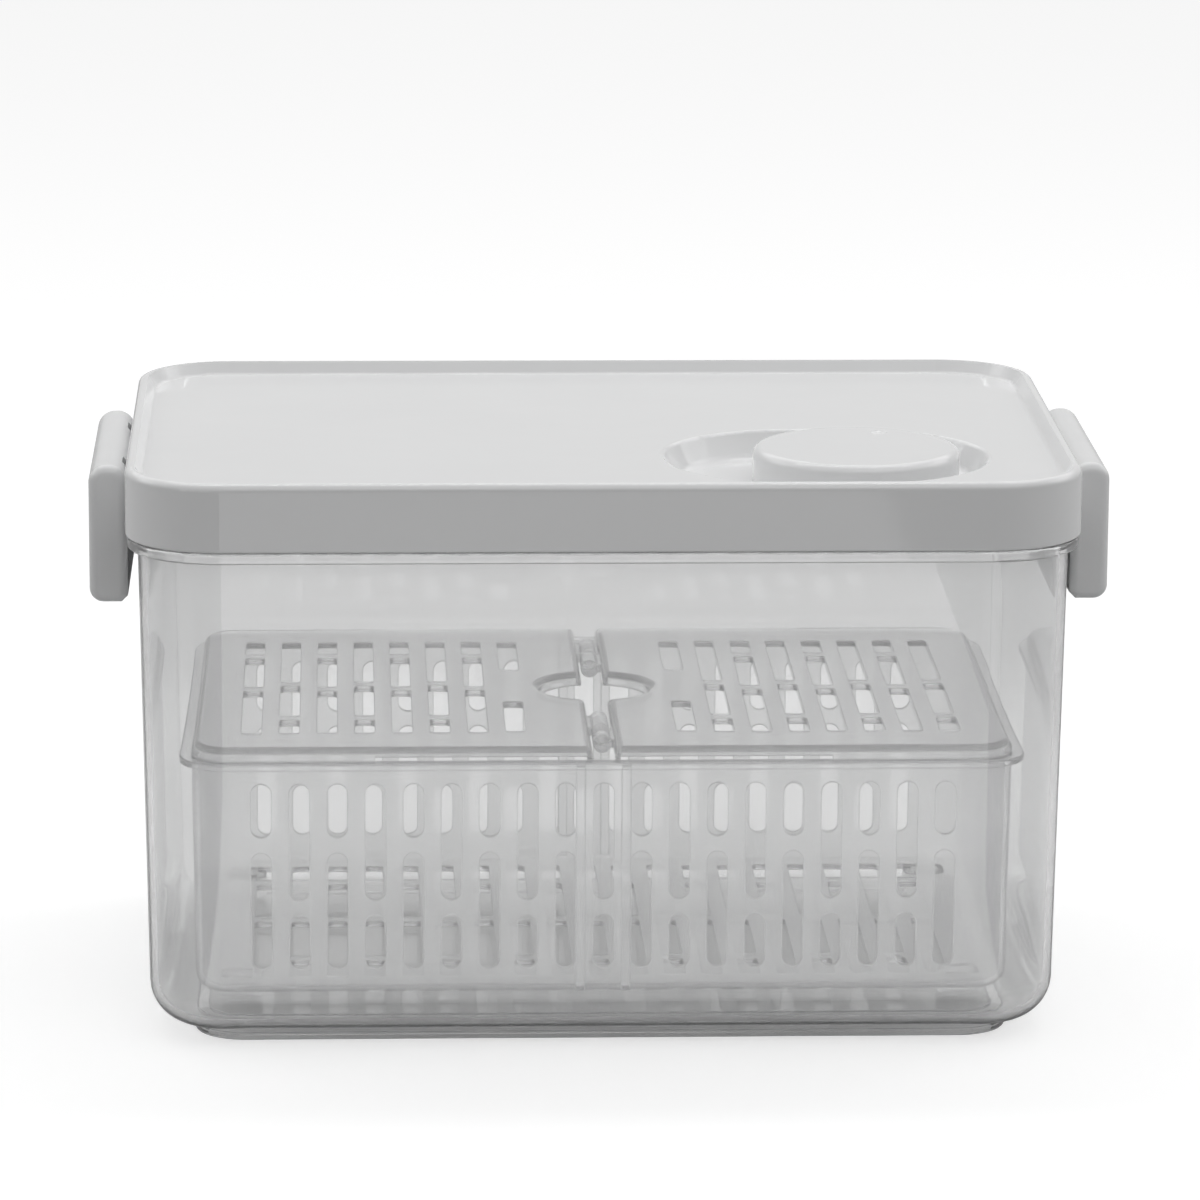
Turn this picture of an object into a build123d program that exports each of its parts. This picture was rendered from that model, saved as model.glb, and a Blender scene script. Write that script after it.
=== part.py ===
from build123d import *
import os
from math import atan, cos, degrees, radians, sin, tan

# Food storage container: a clear tub, a white lid with a turning vent dial and two snap latches,
# and a lift-out drain basket under a folding lid of two leaves.
# Millimetres. X runs along the long side, Y from front to back, Z up.
# The origin is at the middle of the base, on the surface that the container stands on.

# Tub
tub_half_x = 143.7          # outer half width just above the rounded bottom
tub_half_y = 97.7
tub_height = 173.4          # base to the top of the rim, inside the lid
tub_corner = 24.0           # plan radius of the upright corners above the rounded bottom
tub_draft = 1.0             # degrees that the walls lean outwards
tub_wall = 2.6
tub_floor = 3.0
tub_bottom_radius = 14.0
ledge_below_rim = 14.9      # rim top to the underside of the ledge that the latches hook under
ledge_height = 3.5
ledge_reach = 5.8           # ledge's outer edge past tub_half_x and tub_half_y
edge_round = 0.8            # small rounding on the tub's and lid's thin edges
foot_inset_x = 14.2         # foot ring's outer face inside tub_half_x
foot_inset_y = 13.2
foot_corner = 16.0
foot_height = 4.2
foot_width = 4.0
foot_groove = 0.8           # fine groove round the outside of the foot

# Lid
lid_past_ledge = 0.5
lid_height = 21.6
lid_corner = 30.0
lid_wall = 2.4
lid_ledge_gap = 0.3         # under the skirt when the seal is seated
lid_edge_round = 2.4
rim_flat = 3.2
rim_slope = 2.5
recess_depth = 4.0
recess_round = 1.6
seal_rib_width = 2.0
seal_rib_drop = 9.5
seal_width = 4.4
seal_side_gap = 0.3

# Vent: pocket in the lid, dial, shutter below, and what seals and holds them
dial_from_right = 68.4      # dial's axis from the lid's right side
dial_from_front = 62.9
dial_radius = 33.0
dial_above_recess = 3.0
dial_floor_gap = 0.4
dial_wall = 2.2
dial_edge_round = 2.8
dial_rib_width = 1.5
dial_rib_count = 6
dot_radius = 2.7
dot_depth = 0.9
dot_from_centre = 24.0
dot_angle = 67.8
pocket_wider = 9.3          # pocket's upper edge round the dial
pocket_floor_wider = 5.0
pocket_scoop = 19.4         # how far the pocket runs on to the left of the dial, for a finger
pocket_depth = 8.9
pocket_round = 4.0
stem_radius = 6.0
running_gap = 0.05
port_count = 4
port_ring_radius = 21.0
port_width = 7.0
port_sweep = 22.0           # degrees of each port between the centres of its round ends
vent_turn = 45.0            # turn of the dial from closed to open
shutter_margin = 5.0        # shutter past the ports
shutter_thickness = 2.2
vent_gasket_thickness = 0.8
vent_gasket_inset = 0.5
key_step = 1.0              # stem end that turns the shutter: smaller radius, then two flats
key_flat = 1.0
screw_radius = 1.5
screw_head_over = 1.0       # how far the head reaches over the shutter past the stem's flats
screw_head_height = 2.4
screw_length = 8.0
screw_cross_half = 2.4
screw_cross_width = 1.0
screw_cross_depth = 1.2

# Latches
latch_thickness = 12.2
latch_half_length = 47.0
latch_height = 44.4
latch_below_lid_top = 5.7
latch_wall = 2.4
latch_head_wall = 1.8
latch_lid_gap = 0.3
latch_bottom_round = 4.5
latch_bottom_bevel = 2.0
latch_end_round = 3.0
latch_swing = 80.0          # degrees from closed to open
pivot_from_lid = 6.0
pin_radius = 1.5
ear_radius = 3.4
ear_y = 28.0
ear_width = 8.0
ear_side_gap = 0.3
ear_root_height = 3.0
ear_upper_angle = 15.0      # degrees down from the lid's side to where the web meets the round end
ear_lower_angle = 65.0      # degrees down from outwards to where its lower side does
pin_end_overhang = 1.0
hook_height = 3.2
hook_half_length = 40.0
hook_reach = 1.9            # how far the hook goes in under the ledge
hook_gap = 0.3
hook_bevel = 1.4

# Basket
basket_side_gap = 13.7      # basket wall under its flange, inside tub_half_x and tub_half_y
basket_corner = 12.0
basket_wall = 1.8
basket_draft = 0.7
basket_floor = 2.0
basket_bottom_radius = 6.0
basket_height = 76.7        # underside of the floor to the top of the flange
basket_foot_height = 7.0
basket_foot_in_x = 15.2     # middle of a foot inside the basket's wall
basket_foot_in_y = 23.0
basket_foot_size = 13.6
basket_foot_round = 3.5
flange_reach = 4.0
flange_thickness = 2.1
slot_pitch = 12.0
slot_width = 6.3
slot_short = 17.3
slot_long = 37.9
slot_bridge = 5.2
slot_above_floor = 9.1      # lower end of the slots over the underside of the floor
slot_end_margin = 16.0      # least distance from the wall's end to the middle of a column
guide_half_pitch = 7.2
guide_width = 2.8
guide_depth = 3.0
floor_slot_margin = 18.0

# Folding lid of the basket
leaf_height = 4.3
leaf_plate = 2.2
leaf_skirt = 1.8
leaf_gap = 7.0              # open strip between the two leaves
leaf_edge_round = 3.0
leaf_inner_corner = 5.0
finger_hole_radius = 17.5
leaf_slot_first = 27.2      # from the middle to the nearest column of slots
leaf_slot_corner = 1.5
leaf_slot_margin = 21.4     # slot ends inside the leaf's front and back edges
leaf_slot_short = 17.3
leaf_slot_mid = 40.4
leaf_slot_bridge = 5.5
hole_slot_gap = 4.5         # nearest column stops this far short of the finger hole
grip_half_length = 72.0     # finger relief along the skirt's lower edge
grip_height = 1.45
hinge_drop = 3.0            # hinge axis below the top of the leaves
knuckle_radius = 3.0
knuckle_near = 35.5
knuckle_far = 67.0
knuckle_end_gap = 0.4
knuckle_pin_radius = 1.3
knuckle_pin_length = 8.0
knuckle_pin_gap = 0.08

# Sizes that follow from those above
cut_over = 1.0              # how far a cutting tool runs past the face that it opens
tub_bottom = foot_height
floor_top = tub_bottom + tub_floor
tub_lean = tan(radians(tub_draft))
ledge_half_x = tub_half_x + ledge_reach
ledge_half_y = tub_half_y + ledge_reach
ledge_bottom = tub_height - ledge_below_rim
ledge_top = ledge_bottom + ledge_height
foot_half_x = tub_half_x - foot_inset_x
foot_half_y = tub_half_y - foot_inset_y
lid_half_x = ledge_half_x + lid_past_ledge
lid_half_y = ledge_half_y + lid_past_ledge
lid_bottom = ledge_top + lid_ledge_gap
lid_top = lid_bottom + lid_height
recess_z = lid_top - recess_depth
lid_under = recess_z - lid_wall
dial_x = lid_half_x - dial_from_right
dial_y = dial_from_front - lid_half_y
pocket_x = dial_x - pocket_scoop / 2
pocket_radius = dial_radius + pocket_wider
pocket_floor_radius = dial_radius + pocket_floor_wider
pocket_z = recess_z - pocket_depth
pocket_under = pocket_z - lid_wall
pocket_slope = degrees(atan((pocket_radius - pocket_floor_radius) / pocket_depth))
dial_bottom = pocket_z + dial_floor_gap
dial_top = recess_z + dial_above_recess
shutter_radius = port_ring_radius + port_width / 2 + shutter_margin
shutter_top = pocket_under - vent_gasket_thickness
shutter_bottom = shutter_top - shutter_thickness
key_half = stem_radius - key_step - key_flat
screw_head_radius = key_half + screw_head_over
latch_outer_x = lid_half_x + latch_lid_gap + latch_thickness
latch_inner_x = lid_half_x + latch_lid_gap
latch_top = lid_top - latch_below_lid_top
latch_bottom = latch_top - latch_height
latch_head_radius = pivot_from_lid - latch_lid_gap
pivot_x = lid_half_x + pivot_from_lid
pivot_z = latch_top - latch_head_radius
basket_half_x = tub_half_x - basket_side_gap
basket_half_y = tub_half_y - basket_side_gap
basket_bottom = floor_top + basket_foot_height
basket_floor_top = basket_bottom + basket_floor
flange_top = basket_bottom + basket_height
flange_under = flange_top - flange_thickness
leaf_bottom = flange_top
leaf_top = leaf_bottom + leaf_height
hinge_z = leaf_top - hinge_drop


def slab(half_x, half_y, corner, z0, z1, lean=0.0):
    """Upright block with rounded corners; lean is the outward draft in degrees."""
    face = RectangleRounded(2 * half_x, 2 * half_y, corner)
    return Pos(0, 0, z0) * extrude(face, z1 - z0, taper=-lean)


def inset_slab(half_x, half_y, corner, inset, z0, z1, lean=0.0):
    """The same block with all four sides moved inwards."""
    return slab(half_x - inset, half_y - inset, corner - inset, z0, z1, lean)


def edges_at(shape, z, tolerance=0.01):
    """Edges that lie wholly at one height."""
    found = ShapeList()
    for edge in shape.edges():
        box = edge.bounding_box()
        if abs(box.min.Z - z) < tolerance and abs(box.max.Z - z) < tolerance:
            found.append(edge)
    return found


def upright(radius, z0, z1):
    """Cylinder on the Z axis."""
    return Pos(0, 0, (z0 + z1) / 2) * Cylinder(radius, z1 - z0)


def lengthwise(radius, x, z, y0, y1):
    """Cylinder along Y."""
    return Pos(x, (y0 + y1) / 2, z) * Rot(90, 0, 0) * Cylinder(radius, abs(y1 - y0))


def block(x0, x1, y0, y1, z0, z1):
    """Plain block between two corners, in either order."""
    middle = Pos((x0 + x1) / 2, (y0 + y1) / 2, (z0 + z1) / 2)
    return middle * Box(abs(x1 - x0), abs(y1 - y0), abs(z1 - z0))


# Tub
def make_tub():
    """Clear tub with its ledge, rim and hollow foot."""
    low = tub_bottom_radius * tub_lean
    body = inset_slab(tub_half_x, tub_half_y, tub_corner, low, tub_bottom, tub_height, tub_draft)
    body = fillet(edges_at(body, tub_bottom), tub_bottom_radius)
    body = fillet(edges_at(body, tub_height), edge_round)

    ledge = slab(ledge_half_x, ledge_half_y, lid_corner - lid_past_ledge, ledge_bottom, ledge_top)
    ledge = fillet(edges_at(ledge, ledge_top) + edges_at(ledge, ledge_bottom), edge_round)

    foot = slab(foot_half_x, foot_half_y, foot_corner, 0, tub_bottom + cut_over)
    foot = fillet(edges_at(foot, 0), edge_round)
    groove_low = (foot_height - foot_groove) / 2
    groove = slab(foot_half_x + cut_over, foot_half_y + cut_over, foot_corner,
                  groove_low, groove_low + foot_groove)
    groove -= inset_slab(foot_half_x, foot_half_y, foot_corner, foot_groove, 0, foot_height)
    under = inset_slab(foot_half_x, foot_half_y, foot_corner, foot_width, -cut_over, tub_bottom)

    inset = low - tub_floor * tub_lean + tub_wall
    cavity = inset_slab(tub_half_x, tub_half_y, tub_corner, inset,
                        floor_top, tub_height + cut_over, tub_draft)
    cavity = fillet(edges_at(cavity, floor_top), tub_bottom_radius - tub_floor)
    return body + ledge + (foot - groove - under) - cavity


# Lid
def pocket_block(grow, z0, z1):
    """Stadium round the dial and its finger scoop, widening upwards; grow thickens it."""
    face = SlotCenterToCenter(pocket_scoop, 2 * (pocket_floor_radius + grow))
    return Pos(pocket_x, dial_y, z0) * extrude(face, z1 - z0, taper=-pocket_slope)


def vent_ports(z0, z1, turn=0.0):
    """Curved vent openings in a ring about the dial's axis, turned by an angle in degrees."""
    ports = []
    for index in range(port_count):
        start = turn + index * 360 / port_count - port_sweep / 2
        arc = CenterArc((0, 0), port_ring_radius, start, port_sweep)
        ports.append(Pos(dial_x, dial_y, z0) * extrude(SlotArc(arc, port_width), z1 - z0))
    return ports


def on_side(shape, side):
    """A piece drawn for the right side, or its mirror image for the left."""
    return shape if side > 0 else mirror(shape, Plane.YZ)


def latch_ear(side, centre_y):
    """Ear on the lid's skirt that carries a latch pin; side is 1 for right, -1 for left."""
    root_x = lid_half_x - lid_wall / 2
    root_z = lid_bottom + edge_round
    upper = radians(ear_upper_angle)
    lower = radians(ear_lower_angle)
    with BuildSketch(Plane.XZ) as ear:
        with BuildLine():
            Polyline((root_x, root_z), (root_x, root_z + ear_root_height),
                     (lid_half_x, root_z + ear_root_height),
                     (pivot_x - ear_radius * cos(upper), pivot_z - ear_radius * sin(upper)),
                     (pivot_x, pivot_z),
                     (pivot_x + ear_radius * cos(lower), pivot_z - ear_radius * sin(lower)),
                     (lid_half_x, root_z), close=True)
        make_face()
        with Locations((pivot_x, pivot_z)):
            Circle(ear_radius)
            Circle(pin_radius + running_gap, mode=Mode.SUBTRACT)
    solid = Pos(0, centre_y, 0) * extrude(ear.sketch, ear_width / 2, both=True)
    return on_side(solid, side)


def make_lid():
    """White lid: skirt, raised rim, recessed top, vent pocket, seal rib and latch ears."""
    body = slab(lid_half_x, lid_half_y, lid_corner, lid_bottom, lid_top)
    body = fillet(edges_at(body, lid_top), lid_edge_round)
    body = fillet(edges_at(body, lid_bottom), edge_round)
    slope = degrees(atan(rim_slope / recess_depth))
    recess = inset_slab(lid_half_x, lid_half_y, lid_corner, rim_flat + rim_slope,
                        recess_z, lid_top + cut_over, slope)
    recess = fillet(edges_at(recess, recess_z), recess_round)
    hollow = inset_slab(lid_half_x, lid_half_y, lid_corner, lid_wall,
                        lid_bottom - cut_over, lid_under)
    body = body - recess - hollow

    rib_low = lid_under - seal_rib_drop
    rib_out = lid_wall + seal_width + 2 * seal_side_gap
    rib = inset_slab(lid_half_x, lid_half_y, lid_corner, rib_out,
                     rib_low, lid_under + lid_wall / 2)
    rib -= inset_slab(lid_half_x, lid_half_y, lid_corner, rib_out + seal_rib_width,
                      rib_low - cut_over, lid_under + lid_wall)

    bowl = pocket_block(lid_wall, pocket_under, lid_under + lid_wall / 2)
    pocket = pocket_block(0, pocket_z, recess_z + cut_over)
    pocket = fillet(edges_at(pocket, pocket_z), pocket_round)
    body = body + rib + bowl - pocket
    lip = edges_at(body, recess_z).filter_by(
        lambda edge: abs(edge.center().X - pocket_x) < pocket_radius + pocket_scoop / 2 + cut_over
        and abs(edge.center().Y - dial_y) < pocket_radius + cut_over)
    body = fillet(lip, recess_round)

    low = pocket_under - cut_over
    high = pocket_z + cut_over
    body -= Pos(dial_x, dial_y, 0) * upright(stem_radius + running_gap, low, high)
    body -= vent_ports(low, high)
    for side in (1, -1):
        for centre_y in (ear_y, -ear_y):
            body += latch_ear(side, centre_y)
    return body


def make_lid_seal():
    """Silicone ring in the lid's channel, pressed on the tub's rim."""
    out = lid_wall + seal_side_gap
    ring = inset_slab(lid_half_x, lid_half_y, lid_corner, out, tub_height, lid_under)
    ring -= inset_slab(lid_half_x, lid_half_y, lid_corner, out + seal_width,
                       tub_height - cut_over, lid_under + cut_over)
    return fillet(edges_at(ring, tub_height), edge_round)


# Vent
def stem_key(gap, z0, z1):
    """Stem's lower end with two flats, which drives the shutter."""
    bar = upright(stem_radius - key_step + gap, z0, z1)
    return bar & block(-key_half - gap, key_half + gap, -stem_radius, stem_radius, z0, z1)


def make_dial():
    """Hollow dial with an index dot, ribs inside, its stem and the screw hole in the stem."""
    under = dial_top - dial_wall
    cap = upright(dial_radius, dial_bottom, dial_top)
    cap = fillet(edges_at(cap, dial_top), dial_edge_round)
    cap -= upright(dial_radius - dial_wall, dial_bottom - cut_over, under)
    dial = cap + upright(stem_radius, shutter_top, under + dial_wall / 2)
    rib = block(stem_radius - cut_over, dial_radius - dial_wall / 2,
                -dial_rib_width / 2, dial_rib_width / 2,
                dial_bottom + dial_wall, under + dial_wall / 2)
    for index in range(dial_rib_count):
        dial += Rot(0, 0, index * 360 / dial_rib_count) * rib
    dial += stem_key(0, shutter_bottom, shutter_top)
    dial -= upright(screw_radius + running_gap, shutter_bottom - cut_over,
                    shutter_bottom + screw_length)
    ball = (dot_radius ** 2 + dot_depth ** 2) / (2 * dot_depth)
    angle = radians(dot_angle)
    dial -= Pos(dot_from_centre * cos(angle), dot_from_centre * sin(angle),
                dial_top - dot_depth + ball) * Sphere(ball)
    return Pos(dial_x, dial_y, 0) * dial


def make_shutter():
    """Disc under the lid that covers or opens the vent ports as the dial turns."""
    low = shutter_bottom - cut_over
    high = shutter_top + cut_over
    disc = upright(shutter_radius, shutter_bottom, shutter_top)
    disc -= stem_key(running_gap, low, high)
    return Pos(dial_x, dial_y, 0) * disc - vent_ports(low, high, -vent_turn)


def make_vent_gasket():
    """Thin silicone face seal between the lid and the shutter."""
    low = shutter_top - cut_over
    high = pocket_under + cut_over
    ring = upright(shutter_radius - vent_gasket_inset, shutter_top, pocket_under)
    ring -= upright(stem_radius + 2 * vent_gasket_inset, low, high)
    return Pos(dial_x, dial_y, 0) * ring - vent_ports(low, high)


def make_vent_screw():
    """Pan-head screw that holds the shutter on the dial's stem."""
    head_low = shutter_bottom - screw_head_height
    screw = upright(screw_head_radius, head_low, shutter_bottom)
    screw = fillet(edges_at(screw, head_low), screw_head_height / 2)
    screw += upright(screw_radius, shutter_bottom - cut_over / 2,
                     shutter_bottom + screw_length - cut_over)
    for turn in (0, 90):
        screw -= Rot(0, 0, turn) * block(
            -screw_cross_half, screw_cross_half, -screw_cross_width / 2, screw_cross_width / 2,
            head_low - cut_over, head_low + screw_cross_depth)
    return Pos(dial_x, dial_y, 0) * screw


# Latches
def latch_outline():
    """Side view of the right latch: round head about the pin, straight face, rounded foot."""
    outer = latch_outer_x
    inner = latch_inner_x
    head = latch_head_radius
    foot = latch_bottom_round
    bevel = latch_bottom_bevel
    with BuildSketch(Plane.XZ) as outline:
        with BuildLine():
            Polyline((inner, pivot_z), (inner, latch_bottom + bevel),
                     (inner + bevel, latch_bottom), (outer - foot, latch_bottom))
            RadiusArc((outer - foot, latch_bottom), (outer, latch_bottom + foot), -foot)
            Line((outer, latch_bottom + foot), (outer, pivot_z))
            RadiusArc((outer, pivot_z), (outer - head, latch_top), -head)
            Line((outer - head, latch_top), (pivot_x, latch_top))
            RadiusArc((pivot_x, latch_top), (inner, pivot_z), -head)
        make_face()
    return outline.sketch


def ear_slot():
    """Room in the latch for an ear: its upper side as the open latch meets it, and a gap."""
    swing = radians(latch_swing)
    upper = radians(ear_upper_angle)
    ends = []
    for x, z in ((lid_half_x - pivot_x, lid_bottom + edge_round + ear_root_height - pivot_z),
                 (-ear_radius * cos(upper), -ear_radius * sin(upper))):
        ends.append((pivot_x + x * cos(swing) + z * sin(swing) + ear_side_gap,
                     pivot_z + z * cos(swing) - x * sin(swing) + ear_side_gap))
    (outer_x, outer_z), (inner_x, inner_z) = ends
    low = latch_bottom + latch_wall
    back = pivot_x - ear_side_gap
    with BuildSketch(Plane.XZ) as outline:
        with BuildLine():
            Polyline((outer_x, low), (outer_x, outer_z), (inner_x, inner_z), (inner_x, pivot_z),
                     (back, pivot_z), (back, low), close=True)
        make_face()
    return outline.sketch


def latch_hook():
    """Bar along the latch that catches under the tub's ledge."""
    top = ledge_bottom - hook_gap
    tip = ledge_half_x - hook_reach
    root = latch_outer_x - latch_wall / 2
    with BuildSketch(Plane.XZ) as outline:
        with BuildLine():
            Polyline((tip, top), (root, top), (root, top - hook_height),
                     (tip + hook_bevel, top - hook_height), (tip, top - hook_bevel), close=True)
        make_face()
    return extrude(outline.sketch, hook_half_length, both=True)


def make_latch(side):
    """Hollow snap latch with its pin webs and hook; side is 1 for right, -1 for left."""
    latch = extrude(latch_outline(), latch_half_length, both=True)
    rims = latch.edges().filter_by(
        lambda edge: abs(abs(edge.center().Y) - latch_half_length) < edge_round
        and edge.center().X > latch_inner_x + edge_round)
    latch = fillet(rims, latch_end_round)

    inside_y = latch_half_length - latch_wall
    face_x = latch_outer_x - latch_wall
    open_x = latch_inner_x - cut_over
    head_hollow = latch_head_radius - latch_head_wall
    latch -= block(open_x, face_x, -inside_y, inside_y,
                   latch_bottom + latch_wall, pivot_z - pin_radius)
    latch -= block(pivot_x, face_x, -inside_y, inside_y, pivot_z - 2 * pin_radius, pivot_z)
    latch -= lengthwise(head_hollow, pivot_x, pivot_z, -inside_y, inside_y)
    slot_half = ear_width / 2 + ear_side_gap
    for centre in (ear_y, -ear_y):
        latch -= Pos(0, centre, 0) * extrude(ear_slot(), slot_half, both=True)

    web_radius = latch_head_radius - ear_side_gap
    for centre in (ear_y, -ear_y):
        for way in (1, -1):
            y0 = centre + way * slot_half
            y1 = y0 + way * latch_wall
            latch += lengthwise(web_radius, pivot_x, pivot_z, y0, y1)
            latch += block(pivot_x - web_radius + latch_wall, latch_outer_x - latch_wall / 2,
                           y0, y1, ledge_top, pivot_z)
    return on_side(latch + latch_hook() - latch_pin(), side)


def latch_pin():
    """Steel pin through both ears of one side and the latch's webs."""
    reach = ear_y + ear_width / 2 + ear_side_gap + latch_wall + pin_end_overhang
    return lengthwise(pin_radius, pivot_x, pivot_z, -reach, reach)


def make_latch_pin(side):
    """Latch pin, held by the latch's webs and free to turn in the lid's ears."""
    return on_side(latch_pin(), side)


# Basket
def slot_columns():
    """Places along X of the columns of wall and floor slots, evenly about the middle."""
    each_side = int((basket_half_x - slot_end_margin) / slot_pitch)
    return [index * slot_pitch for index in range(-each_side, each_side + 1)]


def three_spans(reach, short_first):
    """Front-to-back spans of three slots in one column, the short one at the front or the back."""
    long = 2 * (reach - leaf_slot_bridge) - leaf_slot_short - leaf_slot_mid
    lengths = [leaf_slot_short, leaf_slot_mid, long]
    if not short_first:
        lengths.reverse()
    spans = []
    start = -reach
    for length in lengths:
        spans.append((start, start + length))
        start += length + leaf_slot_bridge
    return spans


def plate_slot(x, span, z0, z1):
    """Slot with small corners through a plate, along Y between two places."""
    face = RectangleRounded(slot_width, span[1] - span[0], leaf_slot_corner)
    return Pos(x, sum(span) / 2, z0) * extrude(face, z1 - z0)


def wall_slot(x, length, z_low):
    """Upright slot with round ends, cut through the front and back walls together."""
    face = SlotOverall(length, slot_width, rotation=90)
    return Pos(x, 0, z_low + length / 2) * extrude(
        Plane.XZ * face, basket_half_y + cut_over, both=True)


def make_basket():
    """Drain basket: slotted walls and floor, flange, divider guides and four feet."""
    low = (flange_under - basket_bottom) * tan(radians(basket_draft))
    basket = inset_slab(basket_half_x, basket_half_y, basket_corner, low,
                        basket_bottom, flange_top, basket_draft)
    basket = fillet(edges_at(basket, basket_bottom), basket_bottom_radius)
    flange = inset_slab(basket_half_x, basket_half_y, basket_corner, -flange_reach,
                        flange_under, flange_top)
    flange = fillet(edges_at(flange, flange_top) + edges_at(flange, flange_under),
                    flange_thickness / 4)
    cavity = inset_slab(basket_half_x, basket_half_y, basket_corner, low + basket_wall,
                        basket_floor_top, flange_top + cut_over, basket_draft)
    cavity = fillet(edges_at(cavity, basket_floor_top), basket_bottom_radius - basket_wall)
    basket = basket + flange - cavity

    guide_y = basket_half_y - low - basket_wall
    for x in (-guide_half_pitch, guide_half_pitch):
        for way in (1, -1):
            basket += block(x - guide_width / 2, x + guide_width / 2,
                            way * (guide_y - guide_depth), way * (guide_y + basket_wall / 2),
                            basket_floor_top - basket_floor / 2, flange_under)

    floor_reach = basket_half_y - floor_slot_margin
    slot_low = basket_bottom + slot_above_floor
    for index, x in enumerate(slot_columns()):
        short_low = index % 2 == 1
        lower = slot_short if short_low else slot_long
        upper = slot_long if short_low else slot_short
        basket -= wall_slot(x, lower, slot_low)
        basket -= wall_slot(x, upper, slot_low + lower + slot_bridge)
        for span in three_spans(floor_reach, short_low):
            basket -= plate_slot(x, span, basket_bottom - cut_over, basket_floor_top + cut_over)

    half = basket_foot_size / 2
    foot = block(-half, half, -half, half, floor_top, basket_floor_top - basket_floor / 2)
    foot = fillet(foot.edges().filter_by(Axis.Z) + edges_at(foot, floor_top), basket_foot_round)
    for x in (-1, 1):
        for y in (-1, 1):
            basket += Pos(x * (basket_half_x - basket_foot_in_x),
                          y * (basket_half_y - basket_foot_in_y), 0) * foot
    return basket


# Folding lid of the basket
def leaf_outline(inset):
    """Left leaf seen from above, with the half circle of the finger hole; inset shrinks it."""
    near = leaf_gap / 2 + inset
    far = basket_half_x - inset
    with BuildSketch() as sketch:
        with Locations((-(near + far) / 2, 0)):
            plate = Rectangle(far - near, 2 * (basket_half_y - inset))
        middle_x = -(near + far) / 2
        fillet(plate.vertices().filter_by(lambda v: v.X < middle_x), basket_corner - inset)
        fillet(plate.vertices().filter_by(lambda v: v.X > middle_x), leaf_inner_corner - inset)
        Circle(finger_hole_radius + inset, mode=Mode.SUBTRACT)
    return sketch.sketch


def knuckle(y0, y1):
    """Hinge knuckle on the fold axis with the web that joins it to the left leaf."""
    web_x = leaf_gap / 2 + leaf_skirt
    web = block(-web_x, 0, y0, y1, leaf_bottom, hinge_z + knuckle_radius / 2)
    return lengthwise(knuckle_radius, 0, hinge_z, y0, y1) + web


def make_left_leaf():
    """Left half of the folding lid; the right half is the same piece turned half round."""
    low = leaf_bottom - cut_over
    leaf = Pos(0, 0, leaf_bottom) * extrude(leaf_outline(0), leaf_height)
    leaf = fillet(edges_at(leaf, leaf_top), leaf_edge_round)
    leaf -= Pos(0, 0, low) * extrude(leaf_outline(leaf_skirt), leaf_height - leaf_plate + cut_over)
    for way in (1, -1):
        leaf -= block(-grip_half_length, 0, way * (basket_half_y + cut_over),
                      way * (basket_half_y - leaf_skirt), low, leaf_bottom + grip_height)

    reach = basket_half_y - leaf_slot_margin
    columns = 1 + int((basket_half_x - basket_corner - leaf_slot_first) / slot_pitch)
    for column in range(columns):
        spans = three_spans(reach, (columns - column) % 2 == 0)
        if column == 0:
            start = finger_hole_radius + hole_slot_gap
            spans = [(start, reach - cut_over), (cut_over - reach, -start)]
        for span in spans:
            leaf -= plate_slot(-(leaf_slot_first + column * slot_pitch), span,
                               low, leaf_top + cut_over)

    middle = (knuckle_near + knuckle_far) / 2
    inner_end = middle - knuckle_end_gap / 2
    outer_start = middle + knuckle_end_gap / 2
    leaf += knuckle(-inner_end, -knuckle_near)
    leaf += knuckle(outer_start, knuckle_far)
    pin_end = inner_end + knuckle_end_gap + knuckle_pin_length
    leaf += lengthwise(knuckle_pin_radius, 0, hinge_z, -pin_end, -inner_end)
    bore_end = outer_start + knuckle_pin_length + knuckle_end_gap
    leaf -= lengthwise(knuckle_pin_radius + knuckle_pin_gap, 0, hinge_z,
                       outer_start - cut_over / 4, bore_end)
    return leaf


def make_right_leaf():
    """Right half of the folding lid."""
    return Rot(0, 0, 180) * make_left_leaf()


parts = {
    "tub": make_tub,
    "lid_shell": make_lid,
    "lid_seal": make_lid_seal,
    "vent_dial": make_dial,
    "vent_shutter": make_shutter,
    "vent_gasket": make_vent_gasket,
    "vent_screw": make_vent_screw,
    "latch_left": lambda: make_latch(-1),
    "latch_right": lambda: make_latch(1),
    "latch_pin_left": lambda: make_latch_pin(-1),
    "latch_pin_right": lambda: make_latch_pin(1),
    "basket": make_basket,
    "basket_lid_left": make_left_leaf,
    "basket_lid_right": make_right_leaf,
}

os.makedirs("parts", exist_ok=True)
for node, make in parts.items():
    export_step(make(), f"parts/{node}.step")
    print(node, "written")
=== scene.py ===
from math import cos, radians, sin

import bpy
from mathutils import Matrix, Vector

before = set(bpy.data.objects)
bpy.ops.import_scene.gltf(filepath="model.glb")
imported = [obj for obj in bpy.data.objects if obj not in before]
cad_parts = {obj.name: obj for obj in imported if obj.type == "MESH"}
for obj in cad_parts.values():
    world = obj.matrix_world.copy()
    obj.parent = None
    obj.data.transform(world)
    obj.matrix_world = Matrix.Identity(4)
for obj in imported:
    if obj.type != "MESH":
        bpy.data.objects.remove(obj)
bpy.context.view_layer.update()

# Lengths are in metres, angles in degrees and lamp powers in watts. A glow is an emission's strength,
# and a span is the two values of an input between which something changes.

# Camera: place and angles of the photographed view
CAMERA_PLACE = Vector((-0.0830, -2.0305, 0.5875))
CAMERA_YAW = 2.394
CAMERA_DOWN = 12.86
CAMERA_ROLL = -0.32
CAMERA_LENS = 191.56  # millimetres
CAMERA_REACH = 50.0

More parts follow.
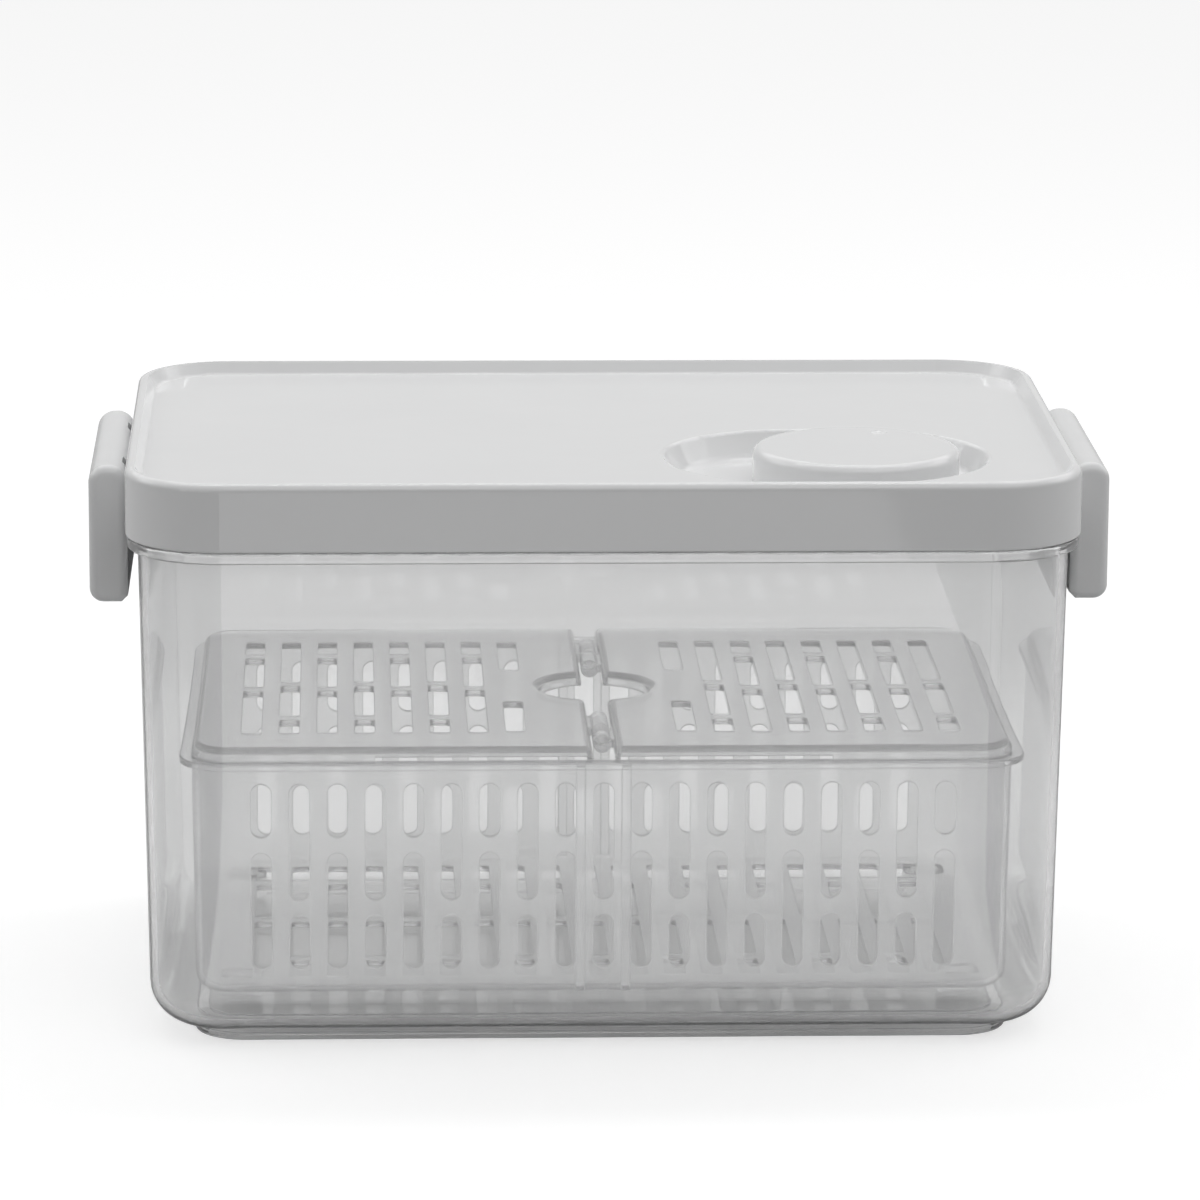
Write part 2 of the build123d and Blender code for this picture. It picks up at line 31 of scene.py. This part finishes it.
# Light through and off the plastics
HARD_IOR = 1.5
FROSTED_IOR = 1.4
SILICONE_IOR = 1.41
CLEAR_PASS = 0.9
FROSTED_PASS = 0.8
# At rounded edges the frosted plastic lets less light through, a painted highlight along the edges
FROSTED_HIGHLIGHT_PASS = 0.3
FROSTED_EDGE_RADIUS = 0.0007
EDGE_SAMPLES = 6
HIGHLIGHT_EDGE_SPAN = (0.8, 0.98)
LID_ROUGHNESS = 0.035
LATCH_ROUGHNESS = 0.2

# Dark and light shade of each material's clouds
LID_SHADES = (0.765, 0.768, 0.772), (0.8, 0.803, 0.805)
LATCH_SHADES = (0.74, 0.743, 0.747), (0.78, 0.783, 0.785)
CLEAR_SHADES = (0.982, 0.984, 0.986), (0.994, 0.995, 0.996)
FROSTED_SHADES = (0.98, 0.981, 0.982), (0.994, 0.995, 0.996)
SILICONE_SHADES = (0.6, 0.61, 0.62), (0.7, 0.71, 0.72)
STEEL_SHADES = (0.52, 0.52, 0.53), (0.64, 0.64, 0.65)

# Spans of noise that make clouds, and thin lines
CLOUD_SPAN = (0.3, 0.7)
SCRATCH_SPAN = (0.66, 0.74)
FULL_SPAN = (0.0, 1.0)

# Floor: its glow to the camera, and through plastic at three distances from the middle: painted shade
# under the object, a painted pool of light round it, and a dimmer glow further out
FLOOR_HALF = 9.0
FLOOR_COLOUR = (0.55, 0.55, 0.55, 1.0)
FLOOR_GLOW = 0.62
UNDER_PAINTED_SHADE_GLOW = 0.15
PAINTED_POOL_GLOW = 0.32
FAR_PAINTED_GLOW = 0.16
PAINTED_POOL_START = (0.1, 0.22)
PAINTED_POOL_EDGE = (0.34, 0.5)

# Painted reflection: a glowing white card on the floor in front, which only reflections and plastic
# show
PAINTED_REFLECTION_GLOW = 0.95
PAINTED_REFLECTION_HALF = 0.16
PAINTED_REFLECTION_SPAN = (-1.0, -0.12)

# World: its light on matt surfaces, and what gloss and plastic show of it
SKY_FRONT = 0.06
SKY_SIDE = 0.4
SKY_BACK = 0.55
SKY_TOP = 0.5
SKY_FRONT_SPAN = (-0.9, 0.0)
SKY_BACK_SPAN = (0.0, 0.8)
SKY_TOP_SPAN = (0.3, 0.9)
SHOWN_FRONT = 0.55
SHOWN_BACK = 0.62
SHOWN_TOP = 1.8
SHOWN_SPAN = (-0.8, 0.8)
SHOWN_TOP_SPAN = (0.3, 0.5)
WHITE = (1.0, 1.0, 1.0, 1.0)

# Softboxes: name, place, width and height, and power
SOFTBOX_AIM = Vector((0.0, 0.0, 0.1))
SOFTBOXES = (
    ("top_softbox", (0.0, 0.45, 1.65), (1.8, 0.2), 5.9),
    ("key_softbox", (0.5, -1.15, 1.55), (1.5, 0.4), 3.5),
    ("left_softbox", (-1.5, 0.4, 0.9), (0.9, 0.9), 3.0),
    ("right_softbox", (1.5, 0.4, 0.9), (0.9, 0.9), 3.0),
)

# Bounces that carry light through both walls of the tub, the basket and its slots
LIGHT_BOUNCES = 24


# Shader nodes
def add(tree, kind, inputs=None, **settings):
    """Adds a shader node, sets its settings, and fills or links the named inputs."""
    made = tree.nodes.new(kind)
    for name, value in settings.items():
        setattr(made, name, value)
    for name, value in (inputs or {}).items():
        if isinstance(value, bpy.types.NodeSocket):
            tree.links.new(value, made.inputs[name])
        else:
            made.inputs[name].default_value = value
    return made


def empty_material(name):
    """New material with only its output node; returns the material, its tree and the output."""
    material = bpy.data.materials.new(name)
    material.use_nodes = True
    tree = material.node_tree
    tree.nodes.clear()
    return material, tree, add(tree, "ShaderNodeOutputMaterial")


def place_of(tree):
    """Coordinates fixed to the object, in metres."""
    return add(tree, "ShaderNodeTexCoord").outputs["Object"]


def calc(tree, operation, *terms):
    """Result of a maths node on its terms."""
    return add(tree, "ShaderNodeMath", dict(enumerate(terms)), operation=operation).outputs[0]


def blend(tree, share, low, high):
    """Value that goes from one value to another with a share from 0 to 1."""
    return add(tree, "ShaderNodeMix", {0: share, 2: low, 3: high}, data_type="FLOAT").outputs[0]


def tint(tree, share, shades):
    """Colour that goes from the first of two shades to the second with a share from 0 to 1."""
    dark, light = shades
    made = add(tree, "ShaderNodeMix", {0: share, 6: (*dark, 1.0), 7: (*light, 1.0)}, data_type="RGBA")
    return made.outputs[2]


def spread(tree, value, low, high, span=CLOUD_SPAN, easing="LINEAR"):
    """Value that goes from low to high while the input crosses a span."""
    return add(tree, "ShaderNodeMapRange", {
        "Value": value, "From Min": span[0], "From Max": span[1], "To Min": low, "To Max": high},
        interpolation_type=easing).outputs[0]


def ease(tree, value, low, high, span):
    """Value that eases from low to high while the input crosses a span."""
    return spread(tree, value, low, high, span, easing="SMOOTHSTEP")


def noise(tree, place, per_metre, detail=2.0, rough=0.5):
    """Noise value from 0 to 1 at a number of features per metre."""
    return add(tree, "ShaderNodeTexNoise", {
        "Vector": place, "Scale": per_metre, "Detail": detail, "Roughness": rough}).outputs["Fac"]


def stretched(tree, place, stretch):
    """Coordinates scaled by a different factor along each axis."""
    return add(tree, "ShaderNodeMapping", {"Vector": place, "Scale": stretch}).outputs["Vector"]


def scratches(tree, place, per_metre, stretch):
    """Fine scratches: noise drawn out along one direction, sharpened into thin lines."""
    value = noise(tree, stretched(tree, place, stretch), per_metre, detail=3.0, rough=0.6)
    return spread(tree, value, 0.0, 1.0, SCRATCH_SPAN)


def soft_edges(tree, radius):
    """Normal that rounds the sharp moulded edges by a radius."""
    return add(tree, "ShaderNodeBevel", {"Radius": radius}, samples=EDGE_SAMPLES).outputs["Normal"]


def highlight_edge_mask(tree, rounded):
    """Value that rises from 0 to 1 where a rounded normal leaves the true one, at an edge."""
    true = add(tree, "ShaderNodeNewGeometry").outputs["True Normal"]
    along = add(tree, "ShaderNodeVectorMath", {0: rounded, 1: true}, operation="DOT_PRODUCT")
    return spread(tree, along.outputs["Value"], 1.0, 0.0, HIGHLIGHT_EDGE_SPAN)


def bumps(tree, layers, normal=None):
    """Normal with stacked bumps, each a height value, a height in metres and a strength."""
    for value, height, strength in layers:
        made = add(tree, "ShaderNodeBump", {
            "Height": value, "Distance": height, "Strength": strength})
        if normal is not None:
            tree.links.new(normal, made.inputs["Normal"])
        normal = made.outputs["Normal"]
    return normal


# Materials: each function gives its shader's inputs
def white_plastic(tree, place, shades, roughness):
    """Injection-moulded white plastic with a faint orange peel and handling marks."""
    cloud = noise(tree, place, 22.0, detail=3.0)
    peel = noise(tree, place, 900.0)
    wave = noise(tree, place, 60.0)
    marks = scratches(tree, place, 260.0, (1.0, 9.0, 3.0))
    polish = spread(tree, cloud, roughness - 0.02, roughness + 0.03)
    return {
        "Base Color": tint(tree, cloud, shades),
        "Roughness": calc(tree, "ADD", polish, spread(tree, marks, 0.0, 0.04, FULL_SPAN)),
        "IOR": HARD_IOR,
        "Normal": bumps(tree, ((wave, 0.0004, 0.05), (peel, 0.00002, 0.25)))}


def clear_plastic(tree, place):
    """Clear glossy plastic with slight flow waves and fine scratches."""
    wave = noise(tree, place, 14.0, detail=1.0)
    ripple = noise(tree, place, 55.0, detail=1.0)
    marks = scratches(tree, place, 420.0, (1.0, 1.0, 14.0))
    haze = noise(tree, place, 30.0, detail=3.0)
    return {
        "Base Color": tint(tree, haze, CLEAR_SHADES),
        "Roughness": spread(tree, marks, 0.012, 0.06, FULL_SPAN),
        "IOR": HARD_IOR,
        "Transmission Weight": CLEAR_PASS,
        "Normal": bumps(tree, ((wave, 0.004, 0.012), (ripple, 0.0006, 0.01)))}


def frosted_plastic(tree, place):
    """Milky plastic with a fine moulded grain and cloudy flow marks, with a painted highlight along
    its edges, where less light passes.
    """
    cloud = noise(tree, place, 18.0, detail=4.0, rough=0.6)
    grain = noise(tree, place, 1500.0)
    rounded = soft_edges(tree, FROSTED_EDGE_RADIUS)
    edges = highlight_edge_mask(tree, rounded)
    return {
        "Base Color": tint(tree, cloud, FROSTED_SHADES),
        "Roughness": spread(tree, cloud, 0.07, 0.11),
        "IOR": FROSTED_IOR,
        # Painted highlight: less light passes where the normal is rounded, so the edges show milky
        # white
        "Transmission Weight": spread(tree, edges, FROSTED_PASS, FROSTED_HIGHLIGHT_PASS, FULL_SPAN),
        "Normal": bumps(tree, ((cloud, 0.0006, 0.06), (grain, 0.00003, 0.15)), rounded)}


def silicone(tree, place):
    """Soft satin silicone with a dusty bloom."""
    cloud = noise(tree, place, 60.0, detail=4.0)
    grain = noise(tree, place, 2200.0)
    return {
        "Base Color": tint(tree, cloud, SILICONE_SHADES),
        "Roughness": spread(tree, cloud, 0.42, 0.6),
        "IOR": SILICONE_IOR,
        "Subsurface Weight": 0.2,
        "Subsurface Scale": 0.002,
        "Normal": bumps(tree, ((grain, 0.00003, 0.35),))}


def drawn_steel(tree, place):
    """Stainless steel with fine marks round the pin from drawing."""
    cloud = noise(tree, place, 90.0, detail=3.0)
    drawn = noise(tree, stretched(tree, place, (60.0, 1.0, 60.0)), 90.0, detail=4.0)
    return {
        "Base Color": tint(tree, cloud, STEEL_SHADES),
        "Metallic": 1.0,
        "Roughness": spread(tree, drawn, 0.2, 0.38),
        "Normal": bumps(tree, ((drawn, 0.00002, 0.3),))}


def surface(name, describe, *choices):
    """Material with one shader, whose inputs a function works out."""
    material, tree, out = empty_material(name)
    shader = add(tree, "ShaderNodeBsdfPrincipled", describe(tree, place_of(tree), *choices))
    tree.links.new(shader.outputs[0], out.inputs["Surface"])
    return material


def dress():
    """Gives every CAD node its material."""
    lid_white = surface("lid_white", white_plastic, LID_SHADES, LID_ROUGHNESS)
    latch_white = surface("latch_white", white_plastic, LATCH_SHADES, LATCH_ROUGHNESS)
    clear = surface("tub_clear", clear_plastic)
    frosted = surface("basket_frosted", frosted_plastic)
    rubber = surface("seal_silicone", silicone)
    steel = surface("pin_steel", drawn_steel)
    finish = {
        "tub": clear,
        "lid_shell": lid_white, "vent_dial": lid_white, "vent_shutter": lid_white,
        "latch_left": latch_white, "latch_right": latch_white,
        "basket": frosted, "basket_lid_left": frosted, "basket_lid_right": frosted,
        "lid_seal": rubber, "vent_gasket": rubber,
        "vent_screw": steel, "latch_pin_left": steel, "latch_pin_right": steel,
    }
    for node, material in finish.items():
        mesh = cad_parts[node].data
        mesh.materials.clear()
        mesh.materials.append(material)


# Studio
def painted_reflection_card(tree):
    """Glow of a white card on the floor in front of the object, a painted reflection."""
    parts = add(tree, "ShaderNodeSeparateXYZ", {0: place_of(tree)}).outputs
    middle = sum(PAINTED_REFLECTION_SPAN) / 2
    reach = (PAINTED_REFLECTION_SPAN[1] - PAINTED_REFLECTION_SPAN[0]) / 2
    across = calc(tree, "COMPARE", parts["X"], 0.0, PAINTED_REFLECTION_HALF)
    along = calc(tree, "COMPARE", parts["Y"], middle, reach)
    return calc(tree, "MULTIPLY", calc(tree, "MULTIPLY", across, along), PAINTED_REFLECTION_GLOW)


def floor_pale():
    """Matt floor material with one glow to the camera, a painted pool of light and painted shade
    under the object seen through plastic, and a painted reflection in gloss.
    """
    material, tree, out = empty_material("floor_pale")
    matt = add(tree, "ShaderNodeBsdfDiffuse", {"Color": FLOOR_COLOUR})
    from_middle = add(tree, "ShaderNodeVectorMath", {0: place_of(tree)}, operation="LENGTH")
    distance = from_middle.outputs["Value"]
    # Painted shade under the object and a painted pool of light round it, shown only through plastic
    painted_pool_inner = ease(tree, distance, UNDER_PAINTED_SHADE_GLOW, PAINTED_POOL_GLOW, PAINTED_POOL_START)
    painted_pool_outer = ease(tree, distance, 0.0, FAR_PAINTED_GLOW - PAINTED_POOL_GLOW, PAINTED_POOL_EDGE)
    path = add(tree, "ShaderNodeLightPath").outputs
    through = calc(tree, "MULTIPLY", path["Is Transmission Ray"], calc(tree, "ADD", painted_pool_inner, painted_pool_outer))
    # Painted reflection of the white card, seen only in gloss
    painted_reflection = calc(tree, "MULTIPLY", path["Is Glossy Ray"], painted_reflection_card(tree))
    shown = calc(tree, "ADD", through, painted_reflection)
    strength = blend(tree, path["Is Camera Ray"], shown, FLOOR_GLOW)
    glow = add(tree, "ShaderNodeEmission", {"Color": WHITE, "Strength": strength})
    both = add(tree, "ShaderNodeAddShader", {0: matt.outputs[0], 1: glow.outputs[0]})
    tree.links.new(both.outputs[0], out.inputs["Surface"])
    return material


def make_floor():
    """Plain pale floor that keeps the object's shadow."""
    mesh = bpy.data.meshes.new("floor")
    corners = [(x * FLOOR_HALF, y * FLOOR_HALF, 0.0) for x, y in ((-1, -1), (1, -1), (1, 1), (-1, 1))]
    mesh.from_pydata(corners, [], [(0, 1, 2, 3)])
    floor = bpy.data.objects.new("floor", mesh)
    bpy.context.scene.collection.objects.link(floor)
    mesh.materials.append(floor_pale())


def make_world():
    """Soft studio surround, bright behind and above and dim in front, and white to the camera."""
    world = bpy.data.worlds.new("studio")
    bpy.context.scene.world = world
    world.use_nodes = True
    tree = world.node_tree
    tree.nodes.clear()
    away = add(tree, "ShaderNodeTexCoord").outputs["Generated"]
    parts = add(tree, "ShaderNodeSeparateXYZ", {0: away}).outputs
    front_side = ease(tree, parts["Y"], SKY_FRONT, SKY_SIDE, SKY_FRONT_SPAN)
    side_back = ease(tree, parts["Y"], 0.0, SKY_BACK - SKY_SIDE, SKY_BACK_SPAN)
    round_about = calc(tree, "ADD", front_side, side_back)
    light = blend(tree, spread(tree, parts["Z"], 0.0, 1.0, SKY_TOP_SPAN), round_about, SKY_TOP)
    level = ease(tree, parts["Y"], SHOWN_FRONT, SHOWN_BACK, SHOWN_SPAN)
    shown = blend(tree, ease(tree, parts["Z"], 0.0, 1.0, SHOWN_TOP_SPAN), level, SHOWN_TOP)
    path = add(tree, "ShaderNodeLightPath").outputs
    by_way = blend(tree, path["Is Diffuse Ray"], shown, light)
    strength = blend(tree, path["Is Camera Ray"], by_way, 1.0)
    background = add(tree, "ShaderNodeBackground", {"Color": WHITE, "Strength": strength})
    out = add(tree, "ShaderNodeOutputWorld")
    tree.links.new(background.outputs[0], out.inputs["Surface"])


def make_lamps():
    """Softboxes overhead, high in front and on each side."""
    for name, place, size, power in SOFTBOXES:
        data = bpy.data.lights.new(name, "AREA")
        data.shape = "RECTANGLE"
        data.size, data.size_y = size
        data.energy = power
        lamp = bpy.data.objects.new(name, data)
        lamp.location = place
        lamp.rotation_euler = (SOFTBOX_AIM - Vector(place)).to_track_quat("-Z", "Y").to_euler()
        bpy.context.scene.collection.objects.link(lamp)


def make_camera():
    """Camera at the photograph's place and angle."""
    yaw, down, roll = radians(CAMERA_YAW), radians(CAMERA_DOWN), radians(CAMERA_ROLL)
    ahead = Vector((sin(yaw) * cos(down), cos(yaw) * cos(down), -sin(down)))
    level = Vector((cos(yaw), -sin(yaw), 0.0))
    below = ahead.cross(level)
    right = level * cos(roll) + below * sin(roll)
    up = level * sin(roll) - below * cos(roll)
    data = bpy.data.cameras.new("camera")
    data.lens = CAMERA_LENS
    data.clip_end = CAMERA_REACH
    camera = bpy.data.objects.new("camera", data)
    turn = Matrix((right, up, -ahead)).transposed().to_4x4()
    camera.matrix_world = Matrix.Translation(CAMERA_PLACE) @ turn
    bpy.context.scene.collection.objects.link(camera)
    bpy.context.scene.camera = camera


make_camera()
dress()
make_floor()
make_world()
make_lamps()

scene = bpy.context.scene
scene.view_settings.view_transform = "Standard"
scene.cycles.max_bounces = LIGHT_BOUNCES
scene.cycles.transmission_bounces = LIGHT_BOUNCES
